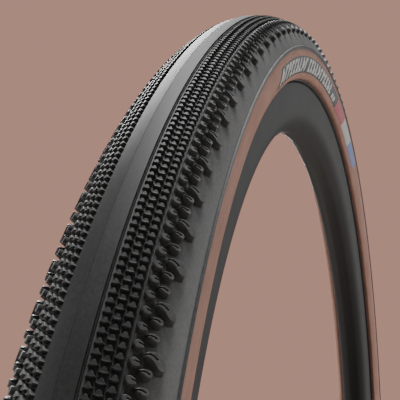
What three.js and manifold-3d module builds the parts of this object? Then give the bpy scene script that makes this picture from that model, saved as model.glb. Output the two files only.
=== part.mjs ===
// A 28 inch gravel bicycle tire, inflated on its deep tubeless rim, with the tubeless valve.
// Units are millimetres. The wheel's centre is the origin, the axle lies along Y, and +Z is up.
// The valve stands at the lowest point of the wheel, pointing up at the axle.
import * as THREE from 'three';
import { mergeGeometries, mergeVertices } from 'three/addons/utils/BufferGeometryUtils.js';
import Module from 'manifold-3d';

const wasm = await Module();
wasm.setup();

// ---- Driving dimensions --------------------------------------------------

const RING_SEGMENTS = 36; // every ring has this many flats, one of them lowest
const GAP = 0.3; // clearance between neighbouring pieces

const TIRE_RADIUS = 358; // wheel centre to the top of the centre tread
const CASING_HALF_WIDTH = 22; // inside of the inflated casing, across the wheel
const CASING_HALF_HEIGHT = 20.6; // the same, along the wheel's radius
const CROWN_BUILD_UP = 4.6; // everything from the liner's inside to the centre tread's top
const SECTION_RADIUS = TIRE_RADIUS - CROWN_BUILD_UP - CASING_HALF_HEIGHT;
const LAYER = 0.4; // thickness of the liner, of one ply and of the breaker
const SKIN = 0.5; // thickness of the sidewall rubber and of the tread base

const CENTRE_TREAD_HALF_WIDTH = 5.6;
const MID_ANGLE = 40; // degrees round the section from the crown, edge of the breaker
const SKIN_ANGLE = 80; // where the tread rubber ends and the sidewall begins
const BEAD_ANGLE = 126; // where the casing turns in to the bead

const BEAD_SEAT_RADIUS = 311; // 622 mm bead seat diameter
const RIM_INNER_HALF_WIDTH = 13;
const RIM_OUTER_HALF_WIDTH = 15.4;
const FLANGE_RADIUS = 317.2;
const WELL_RADIUS = 306.2;
const WELL_HALF_WIDTH = 5;
const SHELF_HALF_WIDTH = 7.8; // where the bead shelf meets the slope of the well
const RIM_WALL = 1.8;
const RIM_NOSE_RADIUS = 14.4; // the round of the spoke side
const RIM_INNERMOST_RADIUS = 285.9;
const RIM_FLAT_HALF_WIDTH = 4.6; // flat at the tip of the nose, for the valve nut

const STEM_RADIUS = 2.9;
const STEM_BORE = 2.35;
const VALVE_SIDES = 16;

// ---- Materials -----------------------------------------------------------

function material(color, roughness, metalness = 0) {
  return new THREE.MeshStandardMaterial({ color, roughness, metalness });
}

const treadRubber = material(0x3b3c3d, 0.82);
const baseRubber = material(0x2c2d2e, 0.85);
const tanRubber = material(0x8f6350, 0.78);
const casingCord = material(0xb9a98c, 0.9);
const breakerWeave = material(0x7c7f52, 0.88);
const butyl = material(0x1d1d1f, 0.55);
const chaferWeave = material(0x232325, 0.8);
const aramid = material(0xb8a246, 0.7);
const rimCoating = material(0x2a2b2c, 0.5);
const tapeFilm = material(0x1f4f86, 0.4);
const labelInk = material(0x26262a, 0.6);
const blackAlloy = material(0x18181a, 0.35, 0.9);
const brass = material(0xb08d4a, 0.35, 1);
const sealRubber = material(0x151515, 0.7);

// ---- Building blocks -----------------------------------------------------

const model = new THREE.Group();

function place(name, geometry, itsMaterial) {
  const mesh = new THREE.Mesh(geometry, itsMaterial);
  mesh.name = name;
  model.add(mesh);
  return mesh;
}

// A closed outline of [radius, across] points, as the counterclockwise Vector2 list of a lathe.
// The radii are stretched so that the middles of the ring's flats lie at the stated radius.
function latheOutline(outline) {
  const stretch = 1 / Math.cos(Math.PI / RING_SEGMENTS);
  const points = outline.map(([radius, across]) => new THREE.Vector2(radius * stretch, across));
  if (THREE.ShapeUtils.isClockWise(points)) points.reverse();
  return [...points, points[0].clone()];
}

// A closed ring around the axle.
function ring(outline) {
  return new THREE.LatheGeometry(latheOutline(outline), RING_SEGMENTS, Math.PI / RING_SEGMENTS);
}

// A strip of a ring: some of its flats, closed at both ends. The outline is convex.
function ringStrip(outline, firstFlat, flats) {
  const step = (2 * Math.PI) / RING_SEGMENTS;
  const points = latheOutline(outline);
  const start = (firstFlat - 0.5) * step;
  const walls = new THREE.LatheGeometry(points, flats, start, flats * step);
  const ends = [start, start + flats * step].map((angle, isLast) => {
    const corners = points.slice(0, -1).flatMap(
      (p) => [p.x * Math.sin(angle), p.y, p.x * Math.cos(angle)]);
    const fan = [];
    for (let i = 1; i < points.length - 2; i += 1) {
      fan.push(...(isLast ? [0, i + 1, i] : [0, i, i + 1]));
    }
    const end = new THREE.BufferGeometry();
    end.setAttribute('position', new THREE.Float32BufferAttribute(corners, 3));
    end.setIndex(fan);
    return end;
  });
  walls.deleteAttribute('normal');
  walls.deleteAttribute('uv');
  return mergeVertices(mergeGeometries([walls, ...ends]));
}

const otherSide = (outline) => outline.map(([radius, across]) => [radius, -across]);

// A point of the tire's section: degrees from the crown, and the height above the casing's inside.
function sectionPoint(degrees, height) {
  const angle = THREE.MathUtils.degToRad(degrees);
  return [
    SECTION_RADIUS + (CASING_HALF_HEIGHT + height) * Math.cos(angle),
    (CASING_HALF_WIDTH + height) * Math.sin(angle),
  ];
}

// A shell that spans the wheel from bead to bead, from the right halves of its two surfaces.
// Both halves start at the crown.
function symmetricShell(outerHalf, innerHalf) {
  return [
    ...otherSide(outerHalf.slice(1)).reverse(),
    ...outerHalf,
    ...[...innerHalf].reverse(),
    ...otherSide(innerHalf.slice(1)),
  ];
}

function pair(name, outline, itsMaterial) {
  place(`${name}_left`, ring(outline), itsMaterial);
  place(`${name}_right`, ring(otherSide(outline)), itsMaterial);
}

// ---- Heights of the layers above the casing's inside ----------------------

const linerTop = LAYER;
const innerPlyFoot = linerTop + GAP;
const innerPlyTop = innerPlyFoot + LAYER;
const outerPlyFoot = innerPlyTop + GAP;
const outerPlyTop = outerPlyFoot + LAYER;
const overPly = outerPlyTop + GAP;
const breakerTop = overPly + LAYER;
const baseFoot = breakerTop + GAP;
const baseTop = baseFoot + SKIN;
const treadFoot = baseTop + GAP;
const skinTop = overPly + SKIN;

// ---- Casing: liner, plies, breaker ----------------------------------------

const plyAngles = [0, MID_ANGLE, SKIN_ANGLE, BEAD_ANGLE];
const arc = (angles, height) => angles.map((degrees) => sectionPoint(degrees, height));

// Across-wheel places of the bead's pieces, from the rim's flange inwards.
const chaferFace = RIM_INNER_HALF_WIDTH - GAP;
const chaferBack = chaferFace - SKIN;
const outerPlyFace = chaferBack - GAP;
const outerPlyBack = outerPlyFace - LAYER;
const coreFace = outerPlyBack - GAP;
const innerPlyFace = 8.6;
const innerPlyBack = innerPlyFace - LAYER;
const coreBack = innerPlyFace + GAP;
const chaferSole = BEAD_SEAT_RADIUS + GAP;
const plySole = chaferSole + SKIN + GAP;
const neckRadius = 318.7; // the casing's narrowest place, over the flange's edge

place('inner_liner', ring(symmetricShell(
  [...arc(plyAngles, linerTop), [neckRadius + 1.5, innerPlyBack - GAP]],
  [...arc(plyAngles, 0), [neckRadius + 1.9, innerPlyBack - GAP]])), butyl);

place('casing_inner_ply', ring(symmetricShell(
  [...arc(plyAngles, innerPlyTop), [neckRadius + 0.6, innerPlyFace], [plySole, innerPlyFace]],
  [...arc(plyAngles, innerPlyFoot), [neckRadius + 1, innerPlyBack], [plySole, innerPlyBack]])),
casingCord);

place('casing_outer_ply', ring(symmetricShell(
  [...arc(plyAngles, outerPlyTop), [neckRadius, outerPlyFace], [plySole, outerPlyFace]],
  [...arc(plyAngles, outerPlyFoot), [neckRadius + 0.3, outerPlyBack], [plySole, outerPlyBack]])),
casingCord);

const breakerAngles = [0, MID_ANGLE];
place('puncture_breaker', ring(symmetricShell(
  arc(breakerAngles, breakerTop), arc(breakerAngles, overPly))), breakerWeave);

// ---- Beads ----------------------------------------------------------------

const coreRadius = (coreFace - coreBack) / 2;
const coreCentre = [plySole + coreRadius + 0.1, (coreFace + coreBack) / 2];
const hexagon = [0, 1, 2, 3, 4, 5].map((corner) => {
  const angle = (corner * Math.PI) / 3;
  return [coreCentre[0] + coreRadius * Math.sin(angle), coreCentre[1] + coreRadius * Math.cos(angle)];
});
pair('bead_core', hexagon, aramid);

const fillerFoot = coreCentre[0] + coreRadius + GAP;
pair('bead_filler', [
  [fillerFoot, coreBack], [fillerFoot, coreFace], [neckRadius - 0.2, coreFace],
  [neckRadius, coreBack],
], sealRubber);

pair('bead_chafer', [
  [chaferSole, innerPlyBack], [chaferSole, chaferFace], [FLANGE_RADIUS + 0.4, chaferFace],
  [FLANGE_RADIUS + 1, RIM_OUTER_HALF_WIDTH + 0.5], [FLANGE_RADIUS + 1.5, RIM_OUTER_HALF_WIDTH + 0.4],
  [FLANGE_RADIUS + 0.9, chaferBack], [chaferSole + SKIN, chaferBack],
  [chaferSole + SKIN, innerPlyBack],
], chaferWeave);

// ---- Sidewalls ------------------------------------------------------------

const skinAngles = [SKIN_ANGLE + 1.2, BEAD_ANGLE];
const skinLipAcross = RIM_OUTER_HALF_WIDTH + 1.6;
pair('sidewall', [
  ...arc(skinAngles, skinTop), [FLANGE_RADIUS + 1.3, skinLipAcross],
  [FLANGE_RADIUS + 1.8, skinLipAcross], ...arc(skinAngles, overPly).reverse(),
], tanRubber);

// Label transfers, flat on the sidewall's outer face, two on each side. Flat 0 is at the top.
const LABEL_FLATS = 6;
const LABEL_THICKNESS = 0.25;
const LABEL_FIRST_FLATS = { top: -3, bottom: 15 };
const [skinHigh, skinLow] = arc(skinAngles, skinTop);
function onSkin(share, height) {
  const along = [skinLow[0] - skinHigh[0], skinLow[1] - skinHigh[1]];
  const length = Math.hypot(...along);
  const outward = [along[1] / length, -along[0] / length];
  return [0, 1].map((i) => skinHigh[i] + share * along[i] + height * outward[i]);
}
const labelOutline = [
  onSkin(0.2, GAP), onSkin(0.75, GAP), onSkin(0.75, GAP + LABEL_THICKNESS),
  onSkin(0.2, GAP + LABEL_THICKNESS),
];
for (const [where, firstFlat] of Object.entries(LABEL_FIRST_FLATS)) {
  place(`label_${where}_left`, ringStrip(labelOutline, firstFlat, LABEL_FLATS), labelInk);
  place(`label_${where}_right`, ringStrip(otherSide(labelOutline), firstFlat, LABEL_FLATS), labelInk);
}

// ---- Tread ----------------------------------------------------------------

place('tread_base', ring(symmetricShell(
  [...arc(breakerAngles, baseTop), sectionPoint(SKIN_ANGLE, baseTop - 0.7)],
  [...arc(breakerAngles, baseFoot), sectionPoint(SKIN_ANGLE, overPly)])), baseRubber);

// The centre tread is flat across, so each flat of the ring is a flat face to stand on.
const centreFoot = sectionPoint(0, treadFoot)[0];
const centreEdgeFoot = centreFoot - 0.5;
place('tread_centre', ring([
  [TIRE_RADIUS, -CENTRE_TREAD_HALF_WIDTH], [TIRE_RADIUS, CENTRE_TREAD_HALF_WIDTH],
  [centreEdgeFoot, CENTRE_TREAD_HALF_WIDTH], [centreFoot, 0],
  [centreEdgeFoot, -CENTRE_TREAD_HALF_WIDTH],
]), treadRubber);

const shoulderStart = 14.5; // degrees, just outside the centre tread
pair('tread_shoulder', [
  sectionPoint(shoulderStart, treadFoot), sectionPoint(shoulderStart, 4.5),
  sectionPoint(MID_ANGLE, 5), sectionPoint(62, 5.2), sectionPoint(68, 3.4),
  sectionPoint(SKIN_ANGLE, 3.2), sectionPoint(SKIN_ANGLE, treadFoot - 0.7),
  sectionPoint(MID_ANGLE, treadFoot),
], treadRubber);

// ---- Rim and tape ---------------------------------------------------------

// A point on the round nose, degrees from the flank; inset is measured inwards from the surface.
function nosePoint(degrees, inset = 0) {
  const angle = THREE.MathUtils.degToRad(degrees);
  const radius = RIM_NOSE_RADIUS - inset;
  return [
    RIM_INNERMOST_RADIUS + RIM_NOSE_RADIUS - radius * Math.sin(angle),
    radius * Math.cos(angle),
  ];
}

const rimSkinHalf = [
  [WELL_RADIUS, WELL_HALF_WIDTH], [BEAD_SEAT_RADIUS, SHELF_HALF_WIDTH],
  [BEAD_SEAT_RADIUS, RIM_INNER_HALF_WIDTH], [FLANGE_RADIUS, RIM_INNER_HALF_WIDTH],
  [FLANGE_RADIUS, RIM_OUTER_HALF_WIDTH - 0.8], [FLANGE_RADIUS - 1, RIM_OUTER_HALF_WIDTH],
  nosePoint(0), nosePoint(30), nosePoint(55), [RIM_INNERMOST_RADIUS, RIM_FLAT_HALF_WIDTH],
];
const rimHollowHalf = [
  [WELL_RADIUS - RIM_WALL, WELL_HALF_WIDTH + 0.6],
  [BEAD_SEAT_RADIUS - RIM_WALL, SHELF_HALF_WIDTH + 0.8],
  [BEAD_SEAT_RADIUS - RIM_WALL, RIM_INNER_HALF_WIDTH - 0.2],
  nosePoint(0, RIM_WALL), nosePoint(30, RIM_WALL),
  [RIM_INNERMOST_RADIUS + RIM_WALL, RIM_FLAT_HALF_WIDTH],
];

function closedBothSides(half) {
  return [...half, ...otherSide(half).reverse()];
}

function toSolid(geometry) {
  const bare = geometry.clone();
  bare.deleteAttribute('normal');
  bare.deleteAttribute('uv');
  const merged = mergeVertices(bare, 1e-4);
  return new wasm.Manifold(new wasm.Mesh({
    numProp: 3,
    vertProperties: new Float32Array(merged.attributes.position.array),
    triVerts: new Uint32Array(merged.index.array),
  }));
}

function toGeometry(solid) {
  const mesh = solid.getMesh();
  const geometry = new THREE.BufferGeometry();
  geometry.setAttribute('position', new THREE.BufferAttribute(mesh.vertProperties, 3));
  geometry.setIndex(new THREE.BufferAttribute(mesh.triVerts, 1));
  return geometry;
}

// The valve's hole: a drill that passes from the axle's side out through the rim's well.
function drill(radius, fromRadius, toRadius) {
  const length = toRadius - fromRadius;
  const tool = new THREE.CylinderGeometry(radius, radius, length, VALVE_SIDES);
  tool.rotateX(Math.PI / 2);
  tool.translate(0, 0, -(fromRadius + toRadius) / 2);
  return toSolid(tool);
}

const valveHoleRadius = STEM_RADIUS + 0.5;
const rimHole = drill(valveHoleRadius, RIM_INNERMOST_RADIUS - 5, WELL_RADIUS + 5);
const rimSolid = toSolid(ring(closedBothSides(rimSkinHalf)))
  .subtract(toSolid(ring(closedBothSides(rimHollowHalf))))
  .subtract(rimHole);
place('rim', toGeometry(rimSolid), rimCoating);

// The tape lies in the well and climbs its slopes to the bead shelves.
function overSlope(height, radius) {
  const run = SHELF_HALF_WIDTH - WELL_HALF_WIDTH;
  const rise = BEAD_SEAT_RADIUS - WELL_RADIUS;
  const length = Math.hypot(run, rise);
  const across = WELL_HALF_WIDTH + ((radius - WELL_RADIUS) * run) / rise;
  return [radius, across - (height * length) / rise];
}
const tapeTop = GAP + LAYER;
const tapeEndRadius = BEAD_SEAT_RADIUS - 0.1;
const tapeSolid = toSolid(ring(closedBothSides([
  overSlope(GAP, WELL_RADIUS + GAP), overSlope(GAP, tapeEndRadius),
  overSlope(tapeTop, tapeEndRadius), overSlope(tapeTop, WELL_RADIUS + tapeTop),
]))).subtract(drill(valveHoleRadius, WELL_RADIUS - 5, WELL_RADIUS + 5));
place('rim_tape', toGeometry(tapeSolid), tapeFilm);

// ---- Valve ----------------------------------------------------------------

// A turned piece on the valve's axis, from [radius, distance from the axle] points.
// It closes on itself, or starts and ends on the axis.
function turned(name, outline, itsMaterial, sides = VALVE_SIDES) {
  const points = outline.map(([radius, fromAxle]) => new THREE.Vector2(radius, -fromAxle));
  const onAxis = outline[0][0] === 0;
  const loop = onAxis ? points : [...points, points[0].clone()];
  const turnedAnticlockwise = !THREE.ShapeUtils.isClockWise(points);
  if (!turnedAnticlockwise) loop.reverse();
  const geometry = new THREE.LatheGeometry(loop, sides, Math.PI / sides);
  geometry.rotateX(Math.PI / 2);
  return place(name, geometry, itsMaterial);
}

const sealInside = WELL_RADIUS + tapeTop + GAP; // the foot seal's face on the tape
const headInside = sealInside + 1.9 + GAP;
const stemTop = 268;
const coreFloor = 283.7;
const coreTop = 262;
const boreFloor = 291;

turned('valve_foot_seal', [
  [STEM_RADIUS + GAP, sealInside], [3.9, sealInside], [4.3, sealInside + 1.9],
  [STEM_RADIUS + GAP, sealInside + 1.9],
], sealRubber);

turned('valve_stem', [
  [1.2, headInside + 1.6], [3.8, headInside + 1.6], [3.8, headInside],
  [STEM_RADIUS, headInside], [STEM_RADIUS, stemTop], [STEM_BORE, stemTop],
  [STEM_BORE, boreFloor], [1.2, boreFloor],
], blackAlloy);

const ringSeat = RIM_INNERMOST_RADIUS - GAP;
const ringTop = ringSeat - 1.5;
turned('valve_o_ring', [
  [STEM_RADIUS + GAP, ringSeat], [4.5, ringSeat], [4.9, (ringSeat + ringTop) / 2],
  [4.5, ringTop], [STEM_RADIUS + GAP, ringTop],
], sealRubber);

const nutFoot = ringTop - GAP;
const nutTop = nutFoot - 4.4;
turned('valve_rim_nut', [
  [STEM_RADIUS + GAP, nutFoot], [5.6, nutFoot], [5.6, nutTop + 0.8], [4.8, nutTop],
  [STEM_RADIUS + GAP, nutTop],
], blackAlloy);

const pinRadius = 0.8;
const pinBore = pinRadius + GAP;
turned('valve_core_body', [
  [pinBore, coreFloor], [STEM_BORE - GAP, coreFloor], [STEM_BORE - GAP, stemTop - GAP],
  [2.7, stemTop - GAP], [2.7, coreTop + 2.4], [2.1, coreTop + 2], [2.1, coreTop],
  [pinBore, coreTop],
], brass);

const gasketTop = coreFloor + GAP;
turned('valve_core_gasket', [
  [pinBore, gasketTop], [1.5, gasketTop], [1.9, gasketTop + 1.7], [pinBore, gasketTop + 1.7],
], sealRubber);

const pinFoot = gasketTop + 1.7 + GAP;
const pinTip = 255.5;
turned('valve_pin', [
  [0, pinFoot + 0.8], [1.7, pinFoot + 0.8], [1.7, pinFoot], [pinRadius, pinFoot],
  [pinRadius, pinTip + 0.4], [pinRadius - 0.3, pinTip], [0, pinTip],
], brass);

const lockNutFoot = coreTop - GAP;
turned('valve_lock_nut', [
  [pinBore, lockNutFoot], [1.9, lockNutFoot], [1.9, lockNutFoot - 2.4], [1.6, lockNutFoot - 2.8],
  [pinBore, lockNutFoot - 2.8],
], brass);

const capFoot = 273;
turned('valve_cap', [
  [0, 252.8], [1.6, 253.2], [3, 256.5], [4, 264], [4, capFoot], [STEM_RADIUS + GAP, capFoot],
  [STEM_RADIUS + GAP, 264], [2.2, 256.5], [0, 254.8],
], blackAlloy);

export default model;
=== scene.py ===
import math

import bmesh
import bpy
import numpy as np
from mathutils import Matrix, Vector


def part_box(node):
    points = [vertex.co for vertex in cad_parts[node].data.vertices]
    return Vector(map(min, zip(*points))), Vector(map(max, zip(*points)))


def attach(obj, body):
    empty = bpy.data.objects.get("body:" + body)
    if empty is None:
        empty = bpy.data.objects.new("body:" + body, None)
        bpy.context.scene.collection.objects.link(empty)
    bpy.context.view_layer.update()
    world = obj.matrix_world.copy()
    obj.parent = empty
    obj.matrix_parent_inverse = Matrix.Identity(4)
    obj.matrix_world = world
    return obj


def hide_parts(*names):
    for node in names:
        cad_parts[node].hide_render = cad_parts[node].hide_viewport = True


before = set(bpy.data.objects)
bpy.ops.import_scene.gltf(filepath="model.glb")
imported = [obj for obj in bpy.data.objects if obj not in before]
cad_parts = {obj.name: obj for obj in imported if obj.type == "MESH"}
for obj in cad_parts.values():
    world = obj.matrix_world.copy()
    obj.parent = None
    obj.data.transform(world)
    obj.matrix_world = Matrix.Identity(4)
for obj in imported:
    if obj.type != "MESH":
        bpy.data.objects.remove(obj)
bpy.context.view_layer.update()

MM = 0.001

# ---- Driving dimensions ------------------------------------------------------------------

TIRE_RADIUS = -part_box("tread_centre")[0].z / MM
STRIP_HALF_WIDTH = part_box("tread_centre")[1].y / MM
CASING_HALF_WIDTH = 22.0
CASING_HALF_HEIGHT = 20.6
CROWN_BUILD_UP = 4.6
SECTION_RADIUS = TIRE_RADIUS - CROWN_BUILD_UP - CASING_HALF_HEIGHT
SIDES = {"left": 1, "right": -1}

FLOOR = 3.4                # height of the rubber between the knobs
KNOB_HEIGHT = 1.3          # of the small knobs, above the floor
SINK = 0.3                 # how deep a knob's foot reaches into that rubber
TREAD_EDGE = 83.4          # section angle where the tread rubber ends

LUGS = 156                 # long lugs round one side
BLOCKS_PER_LUG = 3
KNOBS_PER_LUG = 5
BLOCK_TURN = 360.0 / (LUGS * BLOCKS_PER_LUG)
KNOB_TURN = 360.0 / (LUGS * KNOBS_PER_LUG)

FLANGE_RADIUS = 317.2
BEAD_SEAT_RADIUS = 311.0
RIM_HALF_WIDTH = 15.4
RIM_INNERMOST = 285.9
RIM_NOSE = 14.4            # radius of the rim's round spoke side
VALVE_HOLE = 3.4

RING_STEPS = 360           # points round a ring
TREAD_STEPS = 468          # the same for the tread, three to a long lug
SHARP = 38.0               # edges that turn by more degrees than this stay sharp
ALONG_RADIUS = 0.34        # metres: where a finish measures distances along the wheel

# ---- Mesh building -----------------------------------------------------------------------


def make_mesh(name, points, polygons, sharp=SHARP):
    """A shaded mesh object from points in millimetres and polygons of any size."""
    mesh = bpy.data.meshes.new(name)
    mesh.from_pydata((np.asarray(points, float) * MM).tolist(), [], polygons)
    mesh.validate()
    mesh.shade_smooth()
    mesh.set_sharp_from_angle(angle=math.radians(sharp))
    piece = bpy.data.objects.new(name, mesh)
    bpy.context.scene.collection.objects.link(piece)
    return piece


def settle(piece, body, slot, replaces, *materials):
    """Gives a piece its materials and its body, and hides the CAD nodes that it stands for. slot is not
    used.
    """
    for material in materials:
        piece.data.materials.append(material)
    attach(piece, body)
    if replaces:
        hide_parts(*replaces)
    return piece


def anticlockwise(outline):
    """The outline as an array, turned so that a revolved surface faces outwards."""
    points = np.asarray(outline, float)
    radius, across = points[:, 0], points[:, 1]
    area = np.sum(across * np.roll(radius, -1) - np.roll(across, -1) * radius)
    return points if area > 0 else points[::-1]


def round_the_wheel(radius, across, turn):
    return np.stack([-radius * np.cos(turn), across + 0 * turn, radius * np.sin(turn)], -1)


def ring(name, outline, steps=RING_STEPS, sharp=SHARP):
    """A closed ring round the axle, from its [radius, across] outline."""
    points = anticlockwise(outline)
    turns = np.radians(np.arange(steps) * 360.0 / steps)[:, None]
    grid = round_the_wheel(points[None, :, 0], points[None, :, 1], turns)
    count = len(points)
    return make_mesh(name, grid.reshape(-1, 3), grid_faces(steps, count, True, True), sharp)


def grid_faces(rows, columns, rows_close, columns_close):
    """The quads of a grid of points, row after row, which may close on itself either way."""
    i = np.arange(rows if rows_close else rows - 1)[:, None]
    j = np.arange(columns if columns_close else columns - 1)[None, :]
    i_next, j_next = (i + 1) % rows, (j + 1) % columns
    corners = [i * columns + j, i * columns + j_next, i_next * columns + j_next, i_next * columns + j]
    return np.stack([c + 0 * (i + j) for c in corners], -1).reshape(-1, 4).tolist()


def mirrored(outline):
    return [(radius, -across) for radius, across in outline]


# ---- The tire's section ------------------------------------------------------------------


def section_point(section, height):
    angle = math.radians(section)
    return (
        SECTION_RADIUS + (CASING_HALF_HEIGHT + height) * math.cos(angle),
        (CASING_HALF_WIDTH + height) * math.sin(angle),
    )


def arc(first, last, first_height, last_height=None, step=3.0):
    """Points along the section, with a height that changes evenly."""
    last_height = first_height if last_height is None else last_height
    count = max(2, int(abs(last - first) / step) + 2)
    return [
        section_point(first + (last - first) * t, first_height + (last_height - first_height) * t)
        for t in np.linspace(0, 1, count)
    ]


def symmetric(outer_half, inner_half):
    """A shell from bead to bead, from the left halves of its surfaces, both from the crown."""
    return (
        mirrored(outer_half[1:])[::-1] + outer_half + inner_half[::-1] + mirrored(inner_half[1:])
    )


def on_tire(turn, section, height, side):
    """Points on the tire, from arrays of turn and section in radians, and height."""
    radius = SECTION_RADIUS + (CASING_HALF_HEIGHT + height) * np.cos(section)
    across = side * (CASING_HALF_WIDTH + height) * np.sin(section)
    return round_the_wheel(radius, across, turn)


def rounded(corner_before, corner, corner_after, radius, count=4):
    """A corner of an outline, rounded by a quadratic curve that starts radius away from it."""
    before, at, after = (np.array(p, float) for p in (corner_before, corner, corner_after))
    start = at + (before - at) / np.linalg.norm(before - at) * radius
    end = at + (after - at) / np.linalg.norm(after - at) * radius
    ts = np.linspace(0, 1, count)
    return [tuple((1 - t) ** 2 * start + 2 * t * (1 - t) * at + t * t * end) for t in ts]


def soften(outline, radius):
    """A closed outline with every corner rounded."""
    n = len(outline)
    points = []
    for i, corner in enumerate(outline):
        points += rounded(outline[i - 1], corner, outline[(i + 1) % n], radius)
    return points


# ---- Materials ---------------------------------------------------------------------------


class Nodes:
    """A material's node tree, with short calls for the nodes that the finishes share."""

    def __init__(self, name):
        self.material = bpy.data.materials.new(name)
        self.material.use_nodes = True
        self.tree = self.material.node_tree
        self.shader = self.tree.nodes["Principled BSDF"]

    def add(self, kind, **settings):
        node = self.tree.nodes.new(kind)
        for key, value in settings.items():
            setattr(node, key, value)
        return node

    def link(self, source, target):
        self.tree.links.new(source, target)

    def math(self, operation, a, b=None):
        node = self.add("ShaderNodeMath", operation=operation)
        for socket, value in zip(node.inputs, (a, b)):
            if isinstance(value, (int, float)):
                socket.default_value = value
            elif value is not None:
                self.link(value, socket)
        return node.outputs[0]

    def object_coordinates(self):
        return self.add("ShaderNodeTexCoord").outputs["Object"]

    def wheel_coordinates(self):
        """Metres along the wheel's turn, across the wheel, and out from the axle."""
        split = self.add("ShaderNodeSeparateXYZ")
        self.link(self.object_coordinates(), split.inputs[0])
        x, y, z = split.outputs
        turn = self.math("ARCTAN2", z, x)
        radius = self.math("SQRT", self.math("ADD", self.math("MULTIPLY", x, x),
                                             self.math("MULTIPLY", z, z)))
        joined = self.add("ShaderNodeCombineXYZ")
        for value, socket in zip((self.math("MULTIPLY", turn, ALONG_RADIUS), y, radius), joined.inputs):
            self.link(value, socket)
        return joined.outputs[0]

    def stretched(self, coordinates, scale):
        node = self.add("ShaderNodeMapping")
        node.inputs["Scale"].default_value = scale
        self.link(coordinates, node.inputs["Vector"])
        return node.outputs[0]

    def noise(self, coordinates, scale, detail=3.0, roughness=0.55):
        node = self.add("ShaderNodeTexNoise")
        node.inputs["Scale"].default_value = scale
        node.inputs["Detail"].default_value = detail
        node.inputs["Roughness"].default_value = roughness
        self.link(coordinates, node.inputs["Vector"])
        return node.outputs["Fac"]

    def ramp(self, factor, *stops):
        """A colour ramp from (place, colour) stops; a colour may be one grey number."""
        node = self.add("ShaderNodeValToRGB")
        elements = node.color_ramp.elements
        while len(elements) < len(stops):
            elements.new(0.5)
        for element, (place, colour) in zip(elements, stops):
            rgb = (colour,) * 3 if isinstance(colour, (int, float)) else colour
            element.position = place
            element.color = (*rgb, 1.0)
        self.link(factor, node.inputs[0])
        return node.outputs["Color"]

    def bump(self, height, strength, distance):
        node = self.add("ShaderNodeBump")
        node.inputs["Strength"].default_value = strength
        node.inputs["Distance"].default_value = distance
        self.link(height, node.inputs["Height"])
        self.link(node.outputs[0], self.shader.inputs["Normal"])

    def set(self, **values):
        names = {"roughness": "Roughness", "metallic": "Metallic", "specular": "Specular IOR Level"}
        for key, value in values.items():
            self.shader.inputs[names[key]].default_value = value

    def colour(self, source):
        self.link(source, self.shader.inputs["Base Color"])

    def roughness(self, factor, low, high):
        node = self.add("ShaderNodeMapRange")
        node.inputs["To Min"].default_value = low
        node.inputs["To Max"].default_value = high
        self.link(factor, node.inputs["Value"])
        self.link(node.outputs[0], self.shader.inputs["Roughness"])


def moulded_rubber(name, dark, light, low_rough, high_rough, grain=0.35, specular=0.24):
    """Matte moulded rubber: a fine mottle, a bloom that varies slowly, and a mould's grain."""
    n = Nodes(name)
    place = n.object_coordinates()
    mottle = n.noise(place, 900.0, 4.0, 0.6)
    bloom = n.noise(place, 28.0, 3.0)
    blend = n.math("ADD", n.math("MULTIPLY", mottle, 0.55), n.math("MULTIPLY", bloom, 0.45))
    n.colour(n.ramp(blend, (0.38, dark), (0.62, light)))
    n.roughness(blend, low_rough, high_rough)
    n.set(specular=specular)
    n.bump(n.noise(place, 3200.0, 3.0, 0.65), grain, 0.00012)
    return n.material


def casing_rubber(name):
    """Thin skim rubber over the casing, with the cords showing through along both diagonals."""
    n = Nodes(name)
    place = n.wheel_coordinates()
    along = n.noise(n.stretched(place, (60.0, 900.0, 900.0)), 1.0, 4.0, 0.6)
    cloud = n.noise(n.stretched(place, (45.0, 120.0, 120.0)), 1.0, 3.0)
    cords = []
    for slope in (1.0, -1.0):
        wave = n.add("ShaderNodeTexWave", wave_type="BANDS", bands_direction="X")
        wave.inputs["Scale"].default_value = 1.0
        wave.inputs["Distortion"].default_value = 0.6
        wave.inputs["Detail"].default_value = 1.0
        mapping = n.add("ShaderNodeMapping")
        mapping.inputs["Rotation"].default_value = (0.0, math.radians(45.0) * slope, 0.0)
        mapping.inputs["Scale"].default_value = (320.0, 320.0, 320.0)
        n.link(place, mapping.inputs["Vector"])
        n.link(mapping.outputs[0], wave.inputs["Vector"])
        cords.append(wave.outputs["Fac"])
    weave = n.math("MULTIPLY", n.math("ADD", cords[0], cords[1]), 0.5)
    tone = n.math("ADD", n.math("MULTIPLY", along, 0.5),
                  n.math("ADD", n.math("MULTIPLY", cloud, 0.35), n.math("MULTIPLY", weave, 0.15)))
    n.colour(n.ramp(tone, (0.34, (0.198, 0.099, 0.073)), (0.5, (0.27, 0.144, 0.109)),
                    (0.68, (0.324, 0.186, 0.147))))
    n.roughness(along, 0.6, 0.8)
    n.set(specular=0.21)
    n.bump(n.math("ADD", n.math("MULTIPLY", weave, 0.6), n.math("MULTIPLY", along, 0.4)), 0.25, 0.0001)
    return n.material


def woven(name, dark, light, threads=1100.0):
    """A square weave that follows the wheel."""
    n = Nodes(name)
    place = n.wheel_coordinates()
    waves = []
    for direction in ("X", "Z"):
        wave = n.add("ShaderNodeTexWave", wave_type="BANDS", bands_direction=direction)
        wave.inputs["Scale"].default_value = threads / 6.0
        wave.inputs["Distortion"].default_value = 0.4
        n.link(place, wave.inputs["Vector"])
        waves.append(wave.outputs["Fac"])
    weave = n.math("MULTIPLY", waves[0], waves[1])
    n.colour(n.ramp(weave, (0.1, dark), (0.8, light)))
    n.roughness(n.noise(place, 400.0), 0.72, 0.88)
    n.bump(weave, 0.5, 0.00015)
    return n.material


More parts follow.
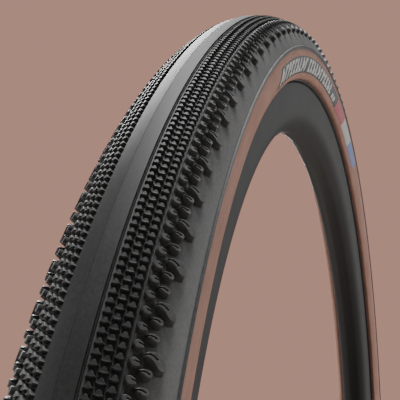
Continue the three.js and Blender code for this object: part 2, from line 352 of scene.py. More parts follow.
def matte_coat(name, dark, light, low_rough, high_rough):
    """A sprayed coat: nearly even, with a very fine orange peel and faint handling marks."""
    n = Nodes(name)
    place = n.object_coordinates()
    cloud = n.noise(place, 14.0, 4.0)
    n.colour(n.ramp(cloud, (0.35, dark), (0.7, light)))
    n.roughness(n.noise(n.stretched(place, (60.0, 200.0, 60.0)), 1.0, 4.0), low_rough, high_rough)
    n.set(specular=0.3)
    n.bump(n.noise(place, 2600.0, 2.0), 0.08, 0.00008)
    return n.material


def metal(name, dark, light, low_rough, high_rough):
    """Turned metal, with fine rings left by the tool."""
    n = Nodes(name)
    place = n.object_coordinates()
    rings = n.noise(n.stretched(place, (150.0, 150.0, 9000.0)), 1.0, 2.0)
    n.colour(n.ramp(rings, (0.35, dark), (0.65, light)))
    n.roughness(rings, low_rough, high_rough)
    n.set(metallic=1.0)
    n.bump(rings, 0.15, 0.00003)
    return n.material


def print_ink(name, colour, worn):
    """A heat transfer's ink: a slightly uneven film, thin in specks."""
    n = Nodes(name)
    place = n.object_coordinates()
    specks = n.noise(place, 1500.0, 5.0, 0.7)
    n.colour(n.ramp(specks, (0.3, worn), (0.48, colour)))
    n.roughness(n.noise(place, 300.0), 0.45, 0.62)
    n.bump(specks, 0.12, 0.00004)
    return n.material


# The bed, knobs, blocks and centre strip are one black rubber in four copies. Each copy's brightness is set
# apart to paint light and shade: lighter copies for the bed and the blocks, darker copies for the knobs and
# the centre strip.
BED_RUBBER_PAINTED_LIGHT = moulded_rubber("tread rubber", 0.069, 0.108, 0.54, 0.72)
KNOB_RUBBER_PAINTED_SHADE = moulded_rubber("knob rubber (painted shade)", 0.041, 0.066, 0.48, 0.6)
BLOCK_RUBBER_PAINTED_LIGHT = moulded_rubber("block rubber (painted light)", 0.072, 0.115, 0.38, 0.48)
STRIP_RUBBER_PAINTED_SHADE = moulded_rubber("centre strip rubber (painted shade)", 0.037, 0.055, 0.5, 0.64, grain=0.2)
BASE_RUBBER = moulded_rubber("base rubber", 0.021, 0.03, 0.75, 0.9)
SEAL_RUBBER = moulded_rubber("seal rubber", 0.012, 0.022, 0.5, 0.65, grain=0.15)
BUTYL = moulded_rubber("butyl", 0.018, 0.03, 0.45, 0.6, grain=0.1)
TAN_RUBBER = casing_rubber("tan casing rubber")
CASING_CORD = woven("casing cord", (0.34, 0.28, 0.19), (0.62, 0.54, 0.4))
BREAKER_WEAVE = woven("breaker weave", (0.2, 0.2, 0.09), (0.42, 0.42, 0.24))
CHAFER_WEAVE = woven("chafer weave", (0.03,) * 3, (0.066,) * 3)
ARAMID = woven("aramid cord", (0.42, 0.32, 0.09), (0.72, 0.58, 0.22), threads=2200.0)
RIM_COAT = matte_coat("matte black coat", 0.0115, 0.0155, 0.62, 0.7)
TAPE_FILM = matte_coat("tape film", (0.03, 0.1, 0.3), (0.05, 0.15, 0.4), 0.25, 0.35)
BLACK_ALLOY = metal("black anodised alloy", 0.02, 0.045, 0.3, 0.45)
BRASS = metal("nickelled brass", (0.48, 0.36, 0.15), (0.72, 0.57, 0.28), 0.22, 0.36)
PANEL_INK = print_ink("panel ink", (0.021, 0.022, 0.025), (0.042, 0.036, 0.035))
LIGHT_INK = print_ink("light ink", (0.38, 0.38, 0.355), (0.18, 0.168, 0.156))
RED_INK = print_ink("red ink", (0.3, 0.036, 0.054), (0.21, 0.03, 0.036))
GREY_INK = print_ink("grey ink", (0.315, 0.32, 0.3), (0.216, 0.204, 0.192))
BLUE_INK = print_ink("blue ink", (0.102, 0.132, 0.3), (0.06, 0.072, 0.18))

# ---- Casing, breaker, liner and beads, which the tread and the rim hide --------------------


def hidden_rings():
    """The tire's inner layers, each as a smooth ring with the thickness that it has in CAD."""
    bead_turn = 126.0

    def shell(outer, inner, neck):
        outer_half = arc(0, bead_turn, outer, step=4) + [p[0] for p in neck]
        inner_half = arc(0, bead_turn, inner, step=4) + [p[1] for p in neck]
        return symmetric(outer_half, inner_half)

    liner = shell(0.4, 0.0, [((320.2, 7.9), (320.6, 7.9))])
    inner_ply = shell(1.1, 0.7, [((319.3, 8.6), (319.7, 8.2)), ((312.1, 8.6), (312.1, 8.2))])
    outer_ply = shell(1.8, 1.4, [((318.7, 11.9), (319.0, 11.5)), ((312.1, 11.9), (312.1, 11.5))])
    settle(ring("casing_liner", liner), "wheel", "butyl_liner", ["inner_liner"], BUTYL)
    settle(ring("ply_inner", inner_ply), "wheel", "casing_cord", ["casing_inner_ply"], CASING_CORD)
    settle(ring("ply_outer", outer_ply), "wheel", "casing_cord", ["casing_outer_ply"], CASING_CORD)

    breaker = symmetric(arc(0, 40, 2.5), arc(0, 40, 2.1))
    settle(ring("breaker_band", breaker), "wheel", "breaker_weave", ["puncture_breaker"], BREAKER_WEAVE)
    base = symmetric(arc(0, 40, 2.9) + arc(43, 79, 2.9, 2.55), arc(0, 40, 2.65) + arc(43, 79, 2.4, 2.15))
    settle(ring("tread_base_ring", base), "wheel", "base_rubber", ["tread_base"], BASE_RUBBER)

    for name, side in SIDES.items():
        circle = [
            (313.35 + 1.15 * math.cos(t), side * (10.05 + 1.15 * math.sin(t)))
            for t in np.radians(np.arange(0, 360, 24))
        ]
        settle(ring(f"bead_bundle_{name}", circle), "wheel", "bead_aramid",
               [f"bead_core_{name}"], ARAMID)
        wedge = soften([(314.85, side * 8.9), (314.85, side * 11.2), (318.4, side * 11.1),
                        (318.6, side * 9.0)], 0.25)
        settle(ring(f"bead_wedge_{name}", wedge), "wheel", "seal_rubber",
               [f"bead_filler_{name}"], SEAL_RUBBER)


# ---- Sidewalls and chafers ----------------------------------------------------------------


def sidewalls():
    for name, side in SIDES.items():
        outer = arc(80.9, 127.0, 2.6, 2.62, step=2.2)
        inner = arc(80.9, 126.0, 2.1, step=2.2)
        lip = [(318.62, 19.1), (318.38, 18.3), (318.4, 17.5), (318.55, 17.02), (318.85, 16.95),
               (319.05, 17.1), (319.15, 18.2)]
        outline = [(radius, side * across) for radius, across in outer + lip + inner[::-1]]
        settle(ring(f"casing_side_{name}", outline), "wheel", "tan_rubber",
               [f"sidewall_{name}"], TAN_RUBBER)

        strip = [(311.3, 8.2), (311.3, 12.7), (317.5, 12.7), (317.9, 13.6), (317.95, 15.2),
                 (317.75, 16.1), (317.95, 16.75), (318.45, 16.8), (318.7, 16.2), (318.72, 15.0),
                 (318.3, 12.9), (317.7, 12.2), (311.8, 12.2), (311.8, 8.2)]
        outline = [(radius, side * across) for radius, across in strip]
        settle(ring(f"chafer_strip_{name}", outline, sharp=50), "wheel", "chafer_weave",
               [f"bead_chafer_{name}"], CHAFER_WEAVE)


# ---- Tread: centre strip and the rubber that carries the knobs -----------------------------


def centre_strip():
    """Two flat facets that meet in a fine crease at the crown."""
    edge = TIRE_RADIUS - 0.6
    half = STRIP_HALF_WIDTH + 0.05
    top = [(TIRE_RADIUS - 0.12, 0.0), (TIRE_RADIUS, 0.14), (TIRE_RADIUS - 0.03, 0.35),
           (edge + 0.02, half - 0.2), (edge - 0.03, half - 0.07), (edge - 0.12, half),
           (edge - 1.5, half + 0.05)]
    foot = [(TIRE_RADIUS - 1.3, 0.0), (edge - 1.55, half - 0.3)]
    outline = mirrored(top[1:])[::-1] + top + foot[::-1] + mirrored(foot[1:])
    settle(ring("centre_strip", outline, TREAD_STEPS, sharp=30), "wheel", "tread_rubber",
           ["tread_centre"], STRIP_RUBBER_PAINTED_SHADE)


def knob_bed(side):
    """The thin rubber under the knobs: a ridged groove, a low rib, and a raised line at its edge."""
    def drawn(*points):
        return [section_point(*point) for point in points]

    surface = (
        drawn((12.0, 2.95), (12.3, 2.95), (12.4, 3.72), (12.6, 3.8), (12.95, 3.78), (13.15, 3.66),
              (13.25, 3.1), (13.55, 3.1))
        + arc(13.7, 35.4, FLOOR)
        + drawn((35.65, FLOOR + 0.24), (35.95, FLOOR + 0.36), (36.4, FLOOR + 0.36),
                (36.75, FLOOR + 0.24), (37.05, FLOOR))
        + arc(37.5, 62.0, FLOOR) + arc(64.0, 78.0, FLOOR - 0.05, 3.0)
        + drawn((78.2, 3.05), (78.6, 3.5), (79.2, 3.74), (79.8, 3.64), (80.2, 3.0), (80.6, 2.78),
                (TREAD_EDGE - 0.2, 2.76), (TREAD_EDGE, 2.68))
    )
    under = arc(11.9, 40.0, 2.7) + arc(43.0, TREAD_EDGE - 0.1, 2.95, 2.66)
    outline = surface + under[::-1]
    return [(radius, side * across) for radius, across in outline]


# ---- Tread: knobs and blocks ---------------------------------------------------------------
# A knob is drawn in plan by [along, out] points, along the wheel's turn and out from the crown,
# anticlockwise seen from outside, at several levels from its foot to its top.


def prototype(levels):
    """Triangles of a closed solid from levels of the same number of points."""
    count = len(levels[0])
    points = np.concatenate([np.asarray(level, float) for level in levels])
    mesh = bmesh.new()
    corners = [mesh.verts.new(p) for p in points]
    for level in range(len(levels) - 1):
        for j in range(count):
            k = (j + 1) % count
            low, high = level * count, (level + 1) * count
            mesh.faces.new([corners[low + j], corners[low + k], corners[high + k], corners[high + j]])
    mesh.faces.new(corners[-count:])
    mesh.faces.new(corners[:count][::-1])
    bmesh.ops.remove_doubles(mesh, verts=mesh.verts, dist=1e-4)
    bmesh.ops.triangulate(mesh, faces=mesh.faces)
    mesh.verts.index_update()
    solid = (np.array([v.co[:] for v in mesh.verts]),
             np.array([[v.index for v in f.verts] for f in mesh.faces]))
    mesh.free()
    return solid


def scattered(solid, turns, section, side):
    """Copies of a solid set round the tire, as points and triangles."""
    points, triangles = solid
    height = FLOOR + points[None, :, 2]
    angle = math.radians(section) + points[None, :, 1] / (CASING_HALF_WIDTH + FLOOR)
    radius = SECTION_RADIUS + (CASING_HALF_HEIGHT + FLOOR) * math.cos(math.radians(section))
    turn = np.radians(np.asarray(turns))[:, None] + points[None, :, 0] / radius
    placed = on_tire(turn, angle, height, side)
    order = triangles if side > 0 else triangles[:, ::-1]
    offsets = np.arange(len(turns))[:, None, None] * len(points)
    return placed.reshape(-1, 3), (order[None] + offsets).reshape(-1, 3)


def joined(parts):
    """Several (points, triangles) as one."""
    points, triangles, start = [], [], 0
    for part_points, part_triangles in parts:
        points.append(part_points)
        triangles.append(part_triangles + start)
        start += len(part_points)
    return np.concatenate(points), np.concatenate(triangles).tolist()


def both_flanks(half):
    """A plan outline from its points on one flank, from the back to the front, both on the axis."""
    return list(half) + [(along, -out) for along, out in half[-2:0:-1]]


def between(low, high, share):
    return [tuple(np.array(a) * (1 - share) + np.array(b) * share) for a, b in zip(low, high)]


def inset(outline, amount):
    """The outline drawn in by amount on every side."""
    points = np.asarray(outline, float)
    edges = np.roll(points, -1, axis=0) - points
    edges /= np.linalg.norm(edges, axis=1, keepdims=True)
    inward = np.stack([-edges[:, 1], edges[:, 0]], -1)
    before = np.roll(inward, 1, axis=0)
    spread = np.maximum(1 + (inward * before).sum(1, keepdims=True), 0.6)
    return (points + amount * (inward + before) / spread).tolist()


def at_height(outline, height, rise=0.0):
    """The outline at a height that grows outboard by rise for each millimetre."""
    return [(along, out, height + rise * max(0.0, out - 1.0)) for along, out in outline]


def small_knob(top_width, foot_width, dimple):
    """A scale: a wide curved front wall, and a bell-shaped top with its tip at the back."""
    foot = both_flanks([(1.95, 0), (1.7, 0.33 * foot_width), (0.75, 0.73 * foot_width),
                        (0.15, foot_width), (-0.2, 0.85 * foot_width), (-0.5, 0.42 * foot_width),
                        (-0.58, 0)])
    edge = both_flanks([(1.6, 0), (1.42, 0.38 * top_width), (0.72, 0.68 * top_width),
                        (0.2, 1.08 * top_width), (0.02, 0.9 * top_width),
                        (-0.08, 0.45 * top_width), (-0.1, 0)])
    top = inset(edge, 0.1)
    levels = [at_height(foot, -SINK), at_height(edge, KNOB_HEIGHT - 0.12), at_height(top, KNOB_HEIGHT)]
    if dimple:
        levels.append(at_height(inset(top, 0.3), KNOB_HEIGHT - dimple))
    return prototype(levels)


def slit(line, width):
    """The walls of a slit, from its mouth to its closed end and back, to end an outline with."""
    points = np.asarray(line, float)
    course = np.gradient(points, axis=0)
    course /= np.linalg.norm(course, axis=1, keepdims=True)
    aside = np.stack([-course[:, 1], course[:, 0]], -1) * width / 2
    return (points + aside).tolist() + (points - aside).tolist()[::-1]


def slit_block(foot, edge, line, top, rise=0.0):
    """A block with a slit across its top, whose mouth is between the outlines' last and first
    points. Below the slit's floor the slit's points lie on the block's flank."""
    depth, bevel = 1.0, 0.13
    walls = slit(line, 0.34)

    def closed(outline):
        last, first = np.array(outline[-1], float), np.array(outline[0], float)
        shares = np.linspace(0.2, 0.8, len(walls))
        return list(outline) + [tuple(last + (first - last) * t) for t in shares]

    floor = top - depth
    waist = between(foot, edge, (floor + SINK) / (top - bevel + SINK))
    upper = list(edge) + walls
    return prototype([
        at_height(closed(foot), -SINK),
        at_height(closed(waist), floor, rise),
        at_height(list(waist) + walls, floor, rise),
        at_height(upper, top - bevel, rise),
        at_height(inset(upper, bevel), top, rise),
    ])


def inner_block():
    """A round-fronted block with a slit from its outboard flank to its middle."""
    foot = [(-0.75, 1.6), (-1.45, 0.75), (-1.65, -0.35), (-1.3, -1.25), (-0.35, -1.85),
            (1.1, -1.75), (1.55, -0.7), (1.05, 0.85)]
    edge = [(-0.55, 1.15), (-0.95, 0.5), (-1.02, -0.4), (-0.78, -1.15), (-0.1, -1.5),
            (0.9, -1.42), (1.25, -0.6), (0.75, 0.5)]
    return slit_block(foot, edge, [(0.1, 0.9), (0.26, 0.25), (0.36, -0.4)], 1.85)


def outer_block():
    """A round-fronted block with a curved slit from its inboard flank."""
    foot = [(0.6, -1.75), (1.2, -0.9), (1.35, 0.6), (1.0, 1.85), (-0.3, 2.3), (-1.7, 2.0),
            (-2.1, 1.0), (-1.6, -0.4), (-0.5, -1.6)]
    edge = [(0.38, -1.4), (0.88, -0.7), (0.98, 0.5), (0.65, 1.5), (-0.1, 1.8), (-1.0, 1.45),
            (-0.95, 0.5), (-0.48, -0.5), (-0.18, -1.45)]
    return slit_block(foot, edge, [(0.14, -1.2), (0.3, -0.5), (0.2, 0.3), (-0.1, 0.95)], 2.0, rise=0.2)


def lug():
    """An outer block that runs on outboard and forward, and sinks towards its square end."""
    foot = [(0.6, -1.5), (1.4, -0.6), (1.7, 0.9), (1.6, 2.5), (0.5, 4.4), (-0.9, 5.7),
            (-3.0, 6.0), (-3.95, 5.6), (-3.95, 3.6), (-3.5, 2.4), (-2.45, 1.2), (-1.6, -0.3),
            (-0.5, -1.4)]
    edge = [(0.38, -1.1), (0.98, -0.4), (1.2, 0.85), (1.12, 2.2), (0.15, 3.75), (-1.0, 4.75),
            (-2.5, 5.0), (-3.2, 4.35), (-3.1, 3.15), (-2.4, 2.2), (-1.4, 1.25), (-0.75, 0.15),
            (-0.45, -1.05)]
    return slit_block(foot, edge, [(0.12, -1.0), (0.36, -0.2), (0.15, 0.9), (-0.6, 2.2)], 1.95, rise=0.07)


# Rows from the crown outwards: the solid, its section angle, the first one's place as a share
# of the row's pitch, the pitch, and the number of copies.
KNOB_ROWS = [
    (small_knob(0.92, 1.7, 0.0), 18.1, 0.46, KNOB_TURN, LUGS * KNOBS_PER_LUG),
    (small_knob(1.1, 1.62, 0.05), 24.8, 0.95, KNOB_TURN, LUGS * KNOBS_PER_LUG),
    (small_knob(1.12, 1.5, 0.0), 31.6, 0.42, KNOB_TURN, LUGS * KNOBS_PER_LUG),
]
BLOCK_ROWS = [
    (inner_block(), 40.9, 0.46, BLOCK_TURN, LUGS * BLOCKS_PER_LUG),
    (outer_block(), 47.5, 0.01, BLOCK_TURN * BLOCKS_PER_LUG, LUGS),
    (outer_block(), 47.5, 0.34, BLOCK_TURN * BLOCKS_PER_LUG, LUGS),
    (lug(), 48.2, 0.67, BLOCK_TURN * BLOCKS_PER_LUG, LUGS),
]


def knob_piece(name, rows, side):
    parts = [scattered(solid, (np.arange(count) + first) * pitch, section, side)
             for solid, section, first, pitch, count in rows]
    return make_mesh(name, *joined(parts))


def tread():
    for name, side in SIDES.items():
        shoulder = [f"tread_shoulder_{name}"]
        bed = ring(f"knob_bed_{name}", knob_bed(side), TREAD_STEPS, sharp=30)
        settle(bed, "wheel", "tread_rubber", shoulder, BED_RUBBER_PAINTED_LIGHT)
        knobs = knob_piece(f"small_knobs_{name}", KNOB_ROWS, side)
        settle(knobs, "wheel", "tread_rubber", shoulder, KNOB_RUBBER_PAINTED_SHADE)
        blocks = knob_piece(f"shoulder_blocks_{name}", BLOCK_ROWS, side)
        settle(blocks, "wheel", "tread_rubber", shoulder, BLOCK_RUBBER_PAINTED_LIGHT)


# ---- Labels --------------------------------------------------------------------------------


PANEL_SPAN = 37.8          # degrees of turn that the bars take
BADGE_SPAN = 6.85          # and each of the badges after them


def label_columns():
    """The label's columns round the wheel, as (width in degrees, ink, rows that the ink covers)."""
    full, high, low = (1, 2, 3, 4), (1, 2), (3, 4)
    covers_in_turn = [(1, 4), high, (2, 3), low, (1, 4), (1,), (4,)]
    columns = [(0.5, PANEL_INK, full)]
    for count in (9, 11):
        for bar in range(count):
            stub = covers_in_turn[(bar * 3 + count) % 7]
            columns += [(0.62, LIGHT_INK, full), (0.5, LIGHT_INK, stub), (0.42, PANEL_INK, full)]
        columns += [(0.8, PANEL_INK, full)]
    columns += [(0.9, LIGHT_INK, low), (0.4, PANEL_INK, full), (0.9, LIGHT_INK, low)]
    columns += [(1.9, PANEL_INK, full)]
    total = sum(width for width, _, _ in columns)
    columns = [(width * PANEL_SPAN / total, ink, cover) for width, ink, cover in columns]
    return columns + [(BADGE_SPAN, ink, full) for ink in (RED_INK, GREY_INK, BLUE_INK)]


def label(name, side, centre, replaced):
    """A thin printed film on the sidewall: slanted bars and three plain badges."""
    lean = -1.0                     # degrees of turn from the label's outer to its inner edge
    inks = [PANEL_INK, LIGHT_INK, RED_INK, GREY_INK, BLUE_INK]

    rows = [93.0, 95.4, 100.2, 105.5, 110.8, 115.6, 118.0]
    turns, row_inks, covers = [], [], []
    place = centre - (PANEL_SPAN + 3 * BADGE_SPAN) / 2
    for width, ink, cover in label_columns():
        parts = max(1, round(width / 0.7))
        for k in range(parts):
            turns.append(place + width * k / parts)
            row_inks.append(ink)
            covers.append(cover)
        place += width
    turns.append(place)

    turn, section = np.meshgrid(np.radians(turns), np.radians(rows), indexing="ij")
    turn = turn + math.radians(lean) * (section - section.min()) / np.ptp(section)
    outer = on_tire(turn, section, 2.75 + 0 * turn, side)
    inner = on_tire(turn, section, 2.55 + 0 * turn, side)
    points = np.concatenate([outer.reshape(-1, 3), inner.reshape(-1, 3)])
    columns_count, rows_count = len(turns), len(rows)
    layer = columns_count * rows_count
    polygons, indices = [], []

    def add(face, ink):
        polygons.append(face if side > 0 else face[::-1])
        indices.append(inks.index(ink))

    for i in range(columns_count - 1):
        for j in range(rows_count - 1):
            bare = row_inks[i] is LIGHT_INK and j not in covers[i]
            ink = PANEL_INK if bare else row_inks[i]
            a, b = i * rows_count + j, (i + 1) * rows_count + j
            add([a, b, b + 1, a + 1], ink)
            add([layer + a + 1, layer + b + 1, layer + b, layer + a], PANEL_INK)
        for j, flip in ((0, True), (rows_count - 1, False)):
            a, b = i * rows_count + j, (i + 1) * rows_count + j
            face = [a, b, layer + b, layer + a]
            add(face[::-1] if flip else face, row_inks[i])
    for j in range(rows_count - 1):
        for i, flip in ((0, False), (columns_count - 1, True)):
            a = i * rows_count + j
            face = [a, a + 1, layer + a + 1, layer + a]
            add(face[::-1] if flip else face, PANEL_INK)
    piece = make_mesh(name, points, polygons, 60)
    settle(piece, "wheel", "label_ink", [replaced], *inks)
    piece.data.polygons.foreach_set("material_index", indices)


def labels():
    for name, side in SIDES.items():
        label(f"transfer_top_{name}", side, 87.9, f"label_top_{name}")
        label(f"transfer_bottom_{name}", side, 267.9, f"label_bottom_{name}")


# ---- Rim and tape --------------------------------------------------------------------------


def nose(first, last, inset_by=0.0, step=5.0):
    """Points on the rim's round spoke side, degrees from its flank."""
    angles = np.radians(np.arange(first, last + 0.1, step))
    radius = RIM_NOSE - inset_by
    return [(RIM_INNERMOST + RIM_NOSE - radius * math.sin(t), radius * math.cos(t)) for t in angles]


def drill(name, low, high):
    """A cylinder on the valve's line, between two distances from the axle."""
    bpy.ops.mesh.primitive_cylinder_add(vertices=48, radius=VALVE_HOLE * MM, depth=(high - low) * MM,
                                        location=(0, 0, -(low + high) / 2 * MM))
    tool = bpy.context.object
    tool.name = name
    return tool


def cut(piece, tool):
    """Takes the tool's solid out of a piece."""
    modifier = piece.modifiers.new("cut", "BOOLEAN")
    modifier.object = tool
    modifier.solver = "EXACT"
    with bpy.context.temp_override(object=piece, active_object=piece, selected_objects=[piece]):
        bpy.ops.object.modifier_apply(modifier=modifier.name)
    bpy.data.objects.remove(tool)
    piece.data.set_sharp_from_angle(angle=math.radians(SHARP))


def both_halves(half):
    return list(half) + mirrored(half)[::-1]


def rim():
    flank = [(FLANGE_RADIUS - 0.05 - 1.0 * t * t, RIM_HALF_WIDTH - 0.8 + 0.8 * math.sin(t * math.pi / 2))
             for t in np.linspace(0, 1, 5)]
    side_wall = [(316.2 - 15.9 * t, RIM_HALF_WIDTH - 1.0 * t ** 1.7) for t in np.linspace(0.12, 0.92, 8)]
    tip = [(287.6, 7.1), (286.75, 5.9), (286.2, 4.9), (RIM_INNERMOST, 4.0)]
    skin = [(306.2, 5.0), (310.6, 7.6), (311.0, 8.1), (BEAD_SEAT_RADIUS, 12.7), (311.3, 13.0),
            (316.9, 13.0), (FLANGE_RADIUS, 13.35)] + flank + side_wall + nose(0, 50) + tip
    hollow = [(304.4, 5.6), (309.2, 8.6), (309.2, 12.8)] + nose(0, 55, 1.8) + [(287.7, 4.6)]
    shell = ring("rim_shell", both_halves(skin))
    cavity = ring("rim_cavity", both_halves(hollow), 180)
    cut(shell, cavity)
    cut(shell, drill("rim_drill", RIM_INNERMOST - 5, 311.2))
    settle(shell, "wheel", "rim_coating", ["rim"], RIM_COAT)


def tape():
    lower = [(306.5, 4.82), (310.9, 7.38)]
    upper = [(310.9, 6.92), (306.9, 4.5)]
    film = ring("tape_band", both_halves(lower + upper))
    cut(film, drill("tape_drill", 301.0, 311.2))
    settle(film, "wheel", "tape_film", ["rim_tape"], TAPE_FILM)


# ---- Valve ---------------------------------------------------------------------------------


def turned(name, outline, sides=64, profile=None, sharp=SHARP):
    """A turned piece on the valve's line, from [radius, distance from the axle] points.
    It closes on itself, or starts and ends on the line. profile shifts radii by angle and place."""
    points = np.asarray(outline, float)
    angle = np.arange(sides) * 2 * math.pi / sides
    radius = points[None, :, 0] + 0 * angle[:, None]
    place = points[None, :, 1] + 0 * angle[:, None]
    if profile is not None:
        radius = np.where(radius > 0, radius + profile(angle[:, None], place, radius), radius)
    grid = np.stack([radius * np.cos(angle)[:, None], radius * np.sin(angle)[:, None], -place], -1)
    on_line = points[0, 0] == 0
    polygons = grid_faces(sides, len(points), True, not on_line)
    flat = grid.reshape(-1, 3)
    mesh = bmesh.new()
    corners = [mesh.verts.new(p * MM) for p in flat]
    for face in polygons:
        mesh.faces.new([corners[i] for i in face])
    bmesh.ops.remove_doubles(mesh, verts=mesh.verts, dist=1e-7)
    bmesh.ops.dissolve_degenerate(mesh, edges=mesh.edges, dist=1e-8)
    bmesh.ops.recalc_face_normals(mesh, faces=mesh.faces)
    data = bpy.data.meshes.new(name)
    mesh.to_mesh(data)
    mesh.free()
    data.shade_smooth()
    data.set_sharp_from_angle(angle=math.radians(sharp))
    piece = bpy.data.objects.new(name, data)
    bpy.context.scene.collection.objects.link(piece)
    return piece


def thread(first, last, surface, depth, pitch):
    """A screw thread cut into the radius around surface, between two distances from the axle."""
    def profile(angle, place, radius):
        phase = ((place - first) / pitch - angle / (2 * math.pi)) % 1.0
        groove = depth * (1 - np.abs(2 * phase - 1) * 2).clip(0, 1)
        here = (place > first) & (place < last) & (np.abs(radius - surface) < 0.02)
        return np.where(here, -groove, 0.0)
    return profile


def flutes(first, last, surface, depth, count):
    """Grip flutes round a cylinder."""
    def profile(angle, place, radius):
        here = (place > first) & (place < last) & (np.abs(radius - surface) < 0.25)
        return np.where(here, -depth * np.abs(np.sin(angle * count / 2)) ** 3, 0.0)
    return profile


def wall(radius, first, last, step):
    """Points along a straight wall, close enough together to carry a thread."""
    count = max(2, int(abs(last - first) / step) + 1)
    return [(radius, place) for place in np.linspace(first, last, count)]


def valve_stem():
    settle(turned("foot_seal", soften([(3.2, 307.2), (3.9, 307.2), (4.3, 309.1), (3.2, 309.1)], 0.2)),
           "wheel", "seal_rubber", ["valve_foot_seal"], SEAL_RUBBER)

    stem = ([(1.2, 311.0), (3.5, 311.0), (3.8, 310.7), (3.8, 309.6), (3.6, 309.4), (2.9, 309.4)]
            + wall(2.9, 305.0, 268.3, 0.1) + [(2.7, 268.0), (2.35, 268.0), (2.35, 291.0), (1.2, 291.0)])
    settle(turned("stem_tube", stem, 48, thread(269.0, 303.0, 2.9, 0.3, 0.8)),
           "wheel", "black_alloy", ["valve_stem"], BLACK_ALLOY)


def rim_nut():
    seal_ring = [(4.05 + 0.85 * math.cos(t), 284.85 + 0.75 * math.sin(t))
                 for t in np.radians(np.arange(0, 360, 20))]
    settle(turned("nut_seal_ring", seal_ring), "rim_nut_seal", "seal_rubber", ["valve_o_ring"], SEAL_RUBBER)

    nut = ([(3.2, 283.6), (3.4, 283.8), (5.3, 283.8), (5.6, 283.5)] + wall(5.6, 283.3, 280.4, 0.35)
           + [(5.4, 280.0), (4.8, 279.4), (3.4, 279.4), (3.2, 279.6)])
    settle(turned("knurled_nut", nut, 144, flutes(280.3, 283.4, 5.6, 0.35, 24), 30),
           "rim_nut", "black_alloy", ["valve_rim_nut"], BLACK_ALLOY)


def valve_core():
    core = ([(1.1, 283.7), (1.8, 283.7), (2.05, 283.4), (2.05, 267.7), (2.6, 267.7), (2.7, 267.5),
             (2.7, 264.6), (2.55, 264.3), (2.2, 264.1)] + wall(2.1, 263.9, 262.3, 0.1)
            + [(1.95, 262.0), (1.1, 262.0)])
    settle(turned("core_sleeve", core, 48, thread(262.3, 263.8, 2.1, 0.15, 0.4)),
           "wheel", "valve_brass", ["valve_core_body"], BRASS)
    plug = soften([(1.1, 284.0), (1.5, 284.0), (1.9, 285.7), (1.1, 285.7)], 0.12)
    settle(turned("core_plug", plug), "valve_pin", "seal_rubber", ["valve_core_gasket"], SEAL_RUBBER)

    pin = ([(0, 286.8), (1.5, 286.8), (1.7, 286.6), (1.7, 286.1), (1.6, 286.0), (0.8, 286.0)]
           + wall(0.8, 262.0, 255.9, 0.1) + [(0.5, 255.5), (0, 255.5)])
    settle(turned("core_pin", pin, 40, thread(256.2, 261.5, 0.8, 0.1, 0.4)),
           "valve_pin", "valve_brass", ["valve_pin"], BRASS)
    lock = ([(1.1, 261.7), (1.75, 261.7), (1.9, 261.55)] + wall(1.9, 261.4, 259.5, 0.3)
            + [(1.85, 259.3), (1.6, 258.9), (1.1, 258.9)])
    settle(turned("core_lock_nut", lock, 96, flutes(259.4, 261.5, 1.9, 0.14, 16), 30),
           "lock_nut", "valve_brass", ["valve_lock_nut"], BRASS)


def valve_cap():
    dome = [(1.6 + 1.4 * t, 253.2 + 3.3 * t ** 1.4) for t in (0.3, 0.65, 1.0)]
    bore = [(3.2, 273.0), (3.2, 264.0), (2.2, 256.5), (0, 254.8)]
    cap = ([(0, 252.8), (1.1, 252.95), (1.6, 253.2)] + dome + [(3.6, 260.0), (4.0, 263.6)]
           + wall(4.0, 264.0, 272.6, 0.5) + [(3.85, 273.0)] + bore)
    settle(turned("dust_cap", cap, 120, flutes(264.5, 271.8, 4.0, 0.22, 20), 30),
           "valve_cap", "black_alloy", ["valve_cap"], BLACK_ALLOY)


def valve():
    valve_stem()
    rim_nut()
    valve_core()
    valve_cap()


# ---- Floor, light and camera ---------------------------------------------------------------


def stage():
    floor_material = Nodes("pale floor")
    floor_material.colour(floor_material.ramp(
        floor_material.noise(floor_material.object_coordinates(), 3.0),
        (0.3, (0.27, 0.24, 0.222)), (0.7, (0.284, 0.254, 0.234))))
    floor_material.set(roughness=0.9)
    bpy.ops.mesh.primitive_plane_add(size=3.2, location=(0, 0, -TIRE_RADIUS * MM))
    floor = bpy.context.object
    floor.name = "floor"
    floor.data.materials.append(floor_material.material)


AMBIENT = 0.1
LIGHT_DISTANCE = 2.2       # metres from the axle
# Each light's name, its direction from the axle, its diameter in metres, and its strength.
LIGHTS = [
    ("overhead", (0.0, 0.0, 1.0), 0.9, 1.5),
    ("behind", (0.5, 0.5, 0.7), 0.9, 1.67),
    ("low behind", (0.85, 0.3, 0.43), 0.9, 1.33),
    ("left", (0.0, 1.0, 0.2), 1.2, 0.3),
    ("right", (0.5, -0.82, 0.2), 1.2, 0.83),
]


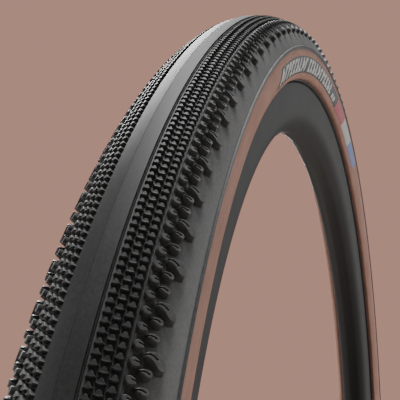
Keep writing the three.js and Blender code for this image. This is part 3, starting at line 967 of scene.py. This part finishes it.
def area_light(name, direction, size, strength):
    """A soft round light aimed at the axle; its strength counts the same at any distance."""
    direction = Vector(direction).normalized()
    light = bpy.data.lights.new(name, "AREA")
    light.shape = "DISK"
    light.size = size
    light.energy = strength * math.pi ** 2 * LIGHT_DISTANCE ** 2
    lamp = bpy.data.objects.new(name, light)
    bpy.context.scene.collection.objects.link(lamp)
    lamp.location = direction * LIGHT_DISTANCE
    lamp.rotation_euler = (-direction).to_track_quat("-Z", "Y").to_euler()


def studio_world():
    """A plain warm backdrop for the camera, and a dim light from all round for the object."""
    world = bpy.data.worlds.new("studio")
    bpy.context.scene.world = world
    world.use_nodes = True
    nodes, links = world.node_tree.nodes, world.node_tree.links
    room = nodes["Background"]
    room.inputs["Color"].default_value = (1.0, 0.96, 0.94, 1)
    room.inputs["Strength"].default_value = AMBIENT
    backdrop = nodes.new("ShaderNodeBackground")
    backdrop.inputs["Color"].default_value = (0.475, 0.262, 0.207, 1)
    seen = nodes.new("ShaderNodeLightPath").outputs["Is Camera Ray"]
    mix = nodes.new("ShaderNodeMixShader")
    links.new(seen, mix.inputs[0])
    links.new(room.outputs[0], mix.inputs[1])
    links.new(backdrop.outputs[0], mix.inputs[2])
    links.new(mix.outputs[0], nodes["World Output"].inputs["Surface"])


def lighting():
    studio_world()
    for light in LIGHTS:
        area_light(*light)


def camera():
    """Close to the front of the wheel, level with its upper part, looking slightly up."""
    azimuth, elevation = math.radians(-69.1), math.radians(-7.9)
    data = bpy.data.cameras.new("camera")
    data.lens = 53.5
    data.sensor_width = 36
    data.clip_start = 0.01
    data.shift_y = -0.0018
    viewer = bpy.data.objects.new("camera", data)
    bpy.context.scene.collection.objects.link(viewer)
    viewer.location = (-0.4543, -0.0882, 0.1774)
    forward = Vector((-math.sin(azimuth) * math.cos(elevation),
                      math.cos(azimuth) * math.cos(elevation), -math.sin(elevation)))
    viewer.rotation_euler = forward.to_track_quat("-Z", "Y").to_euler()
    bpy.context.scene.camera = viewer


camera()
hidden_rings()
sidewalls()
centre_strip()
tread()
labels()
rim()
tape()
valve()
stage()
lighting()
